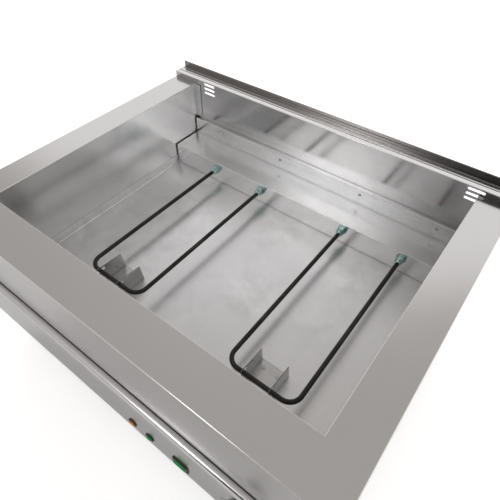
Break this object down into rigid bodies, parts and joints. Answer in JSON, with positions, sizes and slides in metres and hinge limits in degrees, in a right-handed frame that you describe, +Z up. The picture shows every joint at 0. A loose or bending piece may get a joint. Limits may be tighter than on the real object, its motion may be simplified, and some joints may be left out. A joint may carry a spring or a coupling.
{
  "type": "heated well cabinet",
  "caption": "Counter-top heated cabinet in satin stainless steel with an open dry well, U-shaped heating elements, vented rear wall, grooved rear rail and levelling feet.",
  "frame": {"origin": "centre of the footprint, on the plane the feet stand on", "axes": "+X to the right seen from the control side, +Y to the rear, +Z up"},
  "size_m": [0.768, 0.6422, 0.414],
  "materials": {
    "rim_steel": "satin, fine grain",
    "well_steel": "satin, cloudy from heat",
    "back_steel": "satin",
    "rail_steel": "bright satin",
    "casing_steel": "satin, fine grain",
    "element_sheath": "blackened sheath",
    "plated_bush": "bright plated",
    "fastener_steel": "zinc bright",
    "insulator_ceramic": "matt",
    "terminal_brass": "bright",
    "pad_rubber": "matt",
    "black_plastic": "fine moulded texture",
    "rocker_plastic": "translucent gloss",
    "lens_green": "translucent gloss",
    "lens_amber": "translucent gloss",
    "dial_metal": "spun with printed marks",
    "bulb_copper": "drawn",
    "lead_sleeve": "braided glass sleeve",
    "mineral_wool": "mineral wool"
  },
  "bodies": {
    "cabinet": {"back_panel": "back_steel", "base_plate": "casing_steel", "bracket_rivets": "fastener_steel", "bulb_clip": "fastener_steel", "bush_nuts": "plated_bush", "bush_washers": "plated_bush", "capillary_tube": "bulb_copper", "casing_screws": "fastener_steel", "control_panel": "casing_steel", "cover_screws": "fastener_steel", "dial_plate": "dial_metal", "earth_nut": "fastener_steel", "earth_stud": "fastener_steel", "element_bracket_left": "well_steel", "element_bracket_right": "well_steel", "element_bushes": "plated_bush", "element_cover": "well_steel", "element_insulators": "insulator_ceramic", "element_leads": "lead_sleeve", "element_terminals": "terminal_brass", "floor_pan": "well_steel", "foot_nuts": "fastener_steel", "front_fascia": "casing_steel", "heating_element_left": "element_sheath", "heating_element_right": "element_sheath", "inlet_pins": "terminal_brass", "inlet_screws": "fastener_steel", "insulation_floor": "mineral_wool", "insulation_walls": "mineral_wool", "lamp_bodies": "black_plastic", "lamp_lens_heat": "lens_amber", "lamp_lens_power": "lens_green", "power_inlet": "black_plastic", "rear_track": "rail_steel", "rear_upstand": "rail_steel", "safety_cutout": "black_plastic", "sensing_bulb": "bulb_copper", "side_panel_left": "casing_steel", "side_panel_right": "casing_steel", "supply_wiring": "lead_sleeve", "switch_housing": "black_plastic", "terminal_block": "insulator_ceramic", "thermostat_body": "black_plastic", "thermostat_nut": "fastener_steel", "top_frame": "rim_steel", "well_wall_front": "well_steel", "well_wall_left": "well_steel", "well_wall_right": "well_steel", "wiring_grommet": "pad_rubber"},
    "knob": {"thermostat_knob": "black_plastic", "thermostat_shaft": "fastener_steel"},
    "rocker": {"switch_rocker": "rocker_plastic"},
    "foot_front_left": {"foot_stud_front_left": "fastener_steel", "foot_pad_front_left": "pad_rubber"},
    "foot_front_right": {"foot_stud_front_right": "fastener_steel", "foot_pad_front_right": "pad_rubber"},
    "foot_rear_left": {"foot_stud_rear_left": "fastener_steel", "foot_pad_rear_left": "pad_rubber"},
    "foot_rear_right": {"foot_stud_rear_right": "fastener_steel", "foot_pad_rear_right": "pad_rubber"}
  },
  "joints": [
    {"name": "knob_turn", "type": "hinge", "parent": "cabinet", "child": "knob", "pos_m": [0.262, -0.31, 0.15], "axis": [0, 1, 0], "range_deg": [0, 270]},
    {"name": "rocker_tip", "type": "hinge", "parent": "cabinet", "child": "rocker", "pos_m": [0.15, -0.2973, 0.15], "axis": [1, 0, 0], "range_deg": [-16, 0]},
    {"name": "foot_front_left_travel", "type": "slide", "parent": "cabinet", "child": "foot_front_left", "axis": [0, 0, 1], "range_m": [-0.012, 0.018], "stiffness_N_per_m": 30000},
    {"name": "foot_front_right_travel", "type": "slide", "parent": "cabinet", "child": "foot_front_right", "axis": [0, 0, 1], "range_m": [-0.012, 0.018], "stiffness_N_per_m": 30000},
    {"name": "foot_rear_left_travel", "type": "slide", "parent": "cabinet", "child": "foot_rear_left", "axis": [0, 0, 1], "range_m": [-0.012, 0.018], "stiffness_N_per_m": 30000},
    {"name": "foot_rear_right_travel", "type": "slide", "parent": "cabinet", "child": "foot_rear_right", "axis": [0, 0, 1], "range_m": [-0.012, 0.018], "stiffness_N_per_m": 30000}
  ]
}
